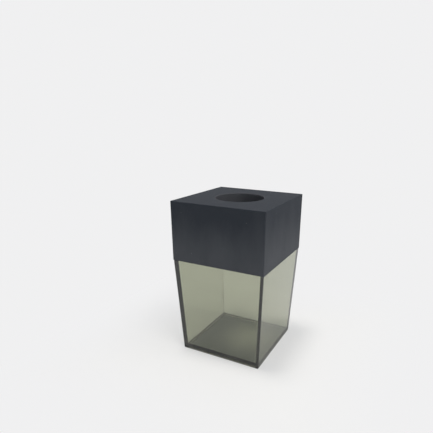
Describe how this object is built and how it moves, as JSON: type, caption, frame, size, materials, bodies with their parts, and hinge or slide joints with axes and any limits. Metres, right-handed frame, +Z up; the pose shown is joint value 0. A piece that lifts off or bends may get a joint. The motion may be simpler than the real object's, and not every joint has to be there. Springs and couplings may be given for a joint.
{
  "type": "magnetic paper clip holder",
  "caption": "Square desk holder for paper clips: a smoked clear tapered tumbler under a black lift-off cap, whose hidden ring magnet holds clips round a top opening.",
  "frame": {"origin": "centre of the square base, on the table", "axes": "+Z up through the throat's centre, -Y out of the front face, +X to its right"},
  "size_m": [0.0634, 0.0634, 0.104],
  "materials": {
    "smoked_clear": "gloss",
    "black_cap": "satin",
    "ferrite": "matte",
    "black_inner": "matte"
  },
  "bodies": {
    "tumbler": {"tumbler": "smoked_clear"},
    "cap": {"cap_shell": "black_cap", "ring_magnet": "ferrite", "magnet_retainer": "black_inner"}
  },
  "joints": [
    {"name": "cap_lift", "type": "slide", "parent": "tumbler", "child": "cap", "axis": [0, 0, 1], "range_m": [0, 0.045]}
  ]
}
